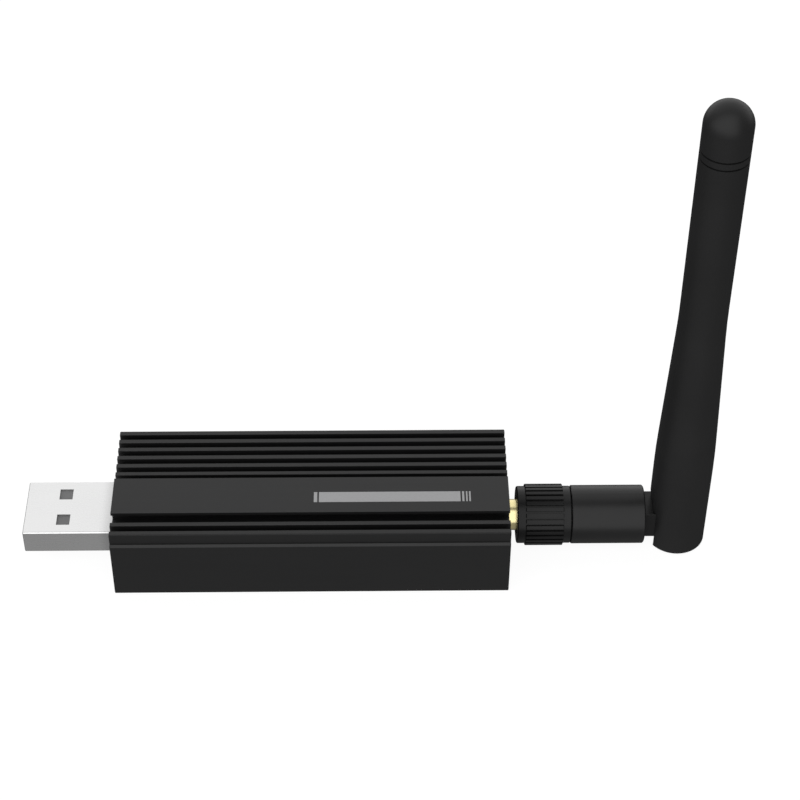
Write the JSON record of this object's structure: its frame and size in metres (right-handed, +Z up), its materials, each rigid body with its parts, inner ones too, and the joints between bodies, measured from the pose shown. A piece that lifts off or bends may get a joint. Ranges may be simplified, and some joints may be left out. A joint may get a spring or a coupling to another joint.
{
  "type": "smart home usb radio stick",
  "caption": "Finned black metal case with a flat USB plug at one end and a screw-on whip antenna on a tilting knuckle at the other, used as a radio adapter for smart home sensors.",
  "frame": {"origin": "under the middle of the part's bounding box with the antenna bent up, on the plane the case stands on", "axes": "+X from the USB plug to the antenna, +Y to the back of the case, +Z up"},
  "size_m": [0.1156, 0.0254, 0.0906],
  "materials": {
    "case_anodised": "black anodised, satin",
    "plate_anodised": "black anodised, satin",
    "screw_black": "black oxide",
    "board_mask": "solder mask",
    "nickel_sheet": "nickel plated, satin",
    "insulator_black": "moulded",
    "gold": "gold plated, polished",
    "tin_sheet": "tinned sheet",
    "chip_black": "moulded",
    "switch_black": "moulded",
    "button_white": "moulded",
    "capacitor_tan": "ceramic",
    "resistor_black": "ceramic",
    "light_clear": "clear moulded",
    "dielectric_white": "turned",
    "nut_black": "moulded, ribbed",
    "brass_turned": "turned",
    "spring_steel": "plain",
    "barrel_black": "moulded, satin",
    "fork_black": "moulded",
    "whip_skin": "satin moulded skin",
    "copper": "plain",
    "cable_jacket": "extruded"
  },
  "bodies": {
    "stick": {"case_extrusion": "case_anodised", "usb_end_plate": "plate_anodised", "antenna_end_plate": "plate_anodised", "usb_end_screws": "screw_black", "antenna_end_screws": "screw_black", "main_board": "board_mask", "usb_plug_shell": "nickel_sheet", "usb_plug_insulator": "insulator_black", "usb_contacts": "gold", "rf_shield_can": "tin_sheet", "radio_chip": "chip_black", "usb_bridge_chip": "chip_black", "crystal": "tin_sheet", "voltage_regulator": "chip_black", "boot_switch_housing": "switch_black", "reset_switch_housing": "switch_black", "chip_capacitors": "capacitor_tan", "chip_resistors": "resistor_black", "status_lights": "light_clear", "antenna_jack_body": "gold", "antenna_jack_insulator": "dielectric_white", "antenna_jack_contact": "gold"},
    "boot_press": {"boot_button": "button_white"},
    "reset_press": {"reset_button": "button_white"},
    "coupling_nut": {"coupling_nut_shell": "nut_black", "coupling_nut_insert": "brass_turned"},
    "antenna_plug": {"antenna_plug_body": "brass_turned", "antenna_plug_insulator": "dielectric_white", "antenna_plug_pin": "gold", "nut_snap_ring": "spring_steel"},
    "barrel": {"knuckle_barrel": "barrel_black", "feed_coax": "cable_jacket"},
    "whip": {"hinge_fork": "fork_black", "hinge_pins": "spring_steel", "whip_sleeve": "whip_skin", "dipole_tube": "brass_turned", "radiator_wire": "copper"}
  },
  "joints": [
    {"name": "antenna_draw", "type": "slide", "parent": "stick", "child": "antenna_plug", "axis": [1, 0, 0], "range_m": [0, 0.0036]},
    {"name": "nut_turn", "type": "hinge", "parent": "antenna_plug", "child": "coupling_nut", "pos_m": [0.0301, 0, 0.00525], "axis": [1, 0, 0], "range_deg": [0, 1840]},
    {"name": "antenna_swivel", "type": "hinge", "parent": "antenna_plug", "child": "barrel", "pos_m": [0.0406, 0, 0.00525], "axis": [1, 0, 0], "range_deg": [-180, 180]},
    {"name": "antenna_tilt", "type": "hinge", "parent": "barrel", "child": "whip", "pos_m": [0.05288, 0, 0.00525], "axis": [0, 1, 0], "range_deg": [0, 90], "deforming": ["feed_coax"]},
    {"name": "boot_press_slide", "type": "slide", "parent": "stick", "child": "boot_press", "axis": [0, 0, -1], "range_m": [0, 0.00025], "stiffness_N_per_m": 2000},
    {"name": "reset_press_slide", "type": "slide", "parent": "stick", "child": "reset_press", "axis": [0, 0, -1], "range_m": [0, 0.00025], "stiffness_N_per_m": 2000}
  ],
  "couplings": [
    {"joint": "nut_turn", "follows": "antenna_draw", "rad_per_m": 8905.3}
  ]
}
